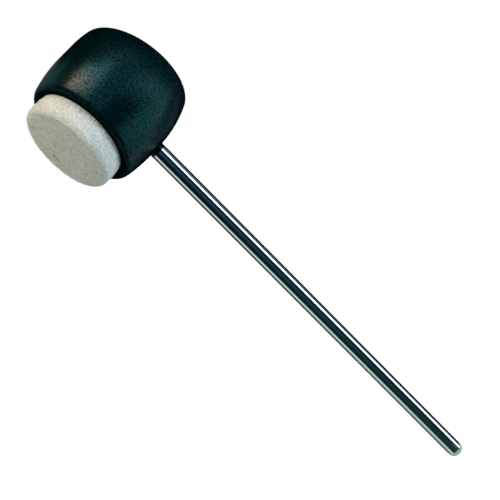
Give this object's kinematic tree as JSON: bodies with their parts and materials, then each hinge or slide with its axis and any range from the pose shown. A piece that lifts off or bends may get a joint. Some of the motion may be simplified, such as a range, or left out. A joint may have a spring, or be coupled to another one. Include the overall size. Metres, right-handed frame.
{
  "type": "bass drum beater",
  "caption": "Bass drum beater: chromed rod with a rubber-jacketed barrel head and a round felt striking face, hung on a cross pin so the face lines up with the drum head.",
  "frame": {"origin": "on the shaft axis, where the full diameter begins above the rounded lower end", "axes": "+Z along the shaft towards the head, -Y the way the felt strikes, X along the pivot pin"},
  "size_m": [0.0618, 0.0608, 0.28],
  "materials": {
    "chromed_steel": "bright plated",
    "pin_steel": "ground",
    "bush_nylon": "moulded",
    "core_nylon": "moulded",
    "screw_steel": "zinc plated",
    "buffer_rubber": "moulded",
    "backing_abs": "moulded",
    "wool_felt": "pressed felt",
    "jacket_rubber": "satin, fine grain"
  },
  "bodies": {
    "rod": {"shaft": "chromed_steel", "pivot_pin": "pin_steel"},
    "head": {"bush_left": "bush_nylon", "bush_right": "bush_nylon", "core_left": "core_nylon", "core_right": "core_nylon", "core_screws": "screw_steel", "front_buffer": "buffer_rubber", "rear_buffer": "buffer_rubber", "pad_backing": "backing_abs", "pad_screws": "screw_steel", "felt_pad": "wool_felt", "head_jacket": "jacket_rubber"}
  },
  "joints": [
    {"name": "head_swivel", "type": "hinge", "parent": "rod", "child": "head", "pos_m": [0, 0, 0.2459], "axis": [1, 0, 0], "range_deg": [-5, 5]}
  ]
}
